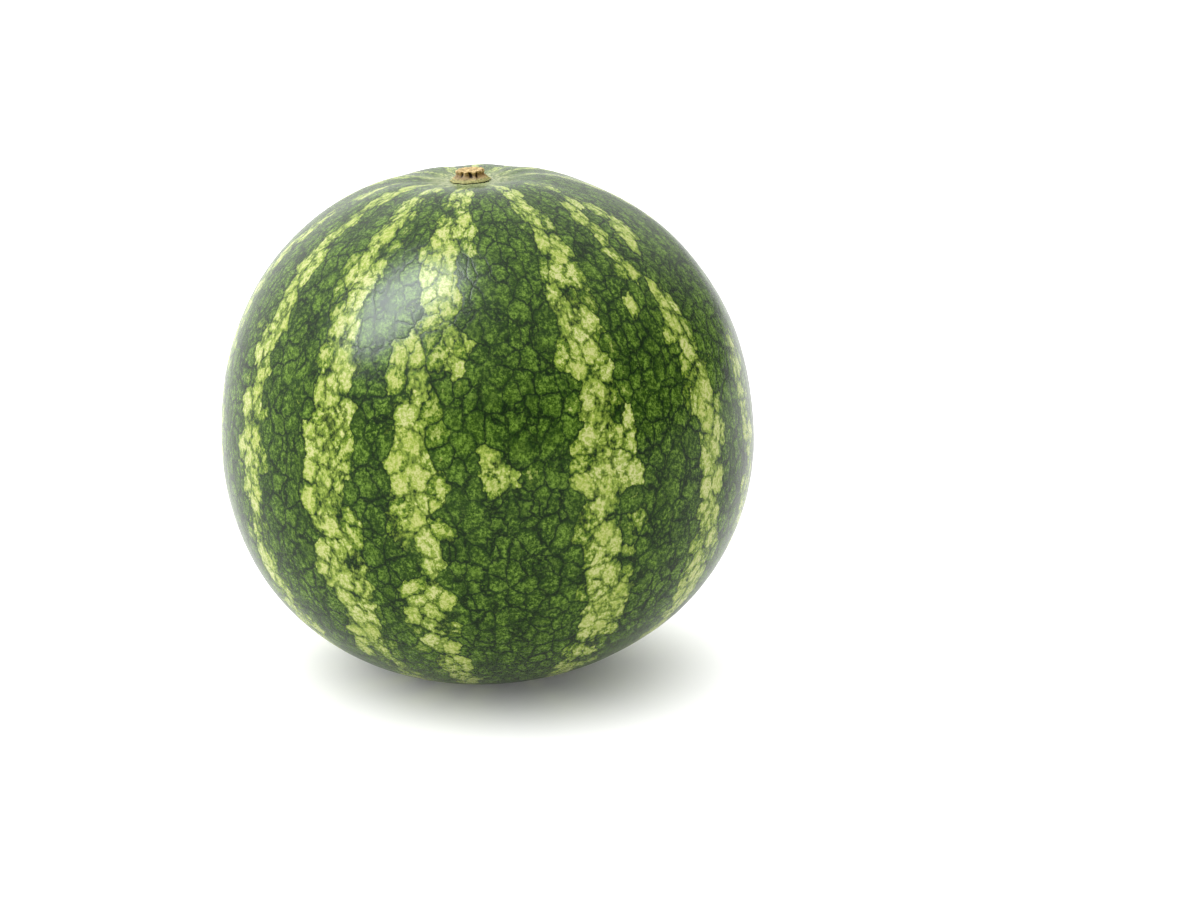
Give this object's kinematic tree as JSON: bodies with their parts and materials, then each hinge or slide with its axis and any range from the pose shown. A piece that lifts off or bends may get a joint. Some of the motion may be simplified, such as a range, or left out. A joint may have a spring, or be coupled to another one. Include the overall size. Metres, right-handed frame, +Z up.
{
  "type": "watermelon",
  "caption": "Whole round watermelon with a dry stem stub on top, standing on the flat spot at its blossom end.",
  "frame": {"origin": "on the surface that the fruit rests on, under the middle of its bounding box", "axes": "+Z is up, from the flat spot at the blossom end to the stem stub, and the stem end leans a few degrees to -X"},
  "size_m": [0.2602, 0.26, 0.2482],
  "materials": {
    "rind": "waxy, dark green with pale green broken stripes",
    "dry_stem": "dry, corky"
  },
  "bodies": {
    "root": {"fruit": "rind", "stem_stub": "dry_stem"}
  },
  "joints": []
}
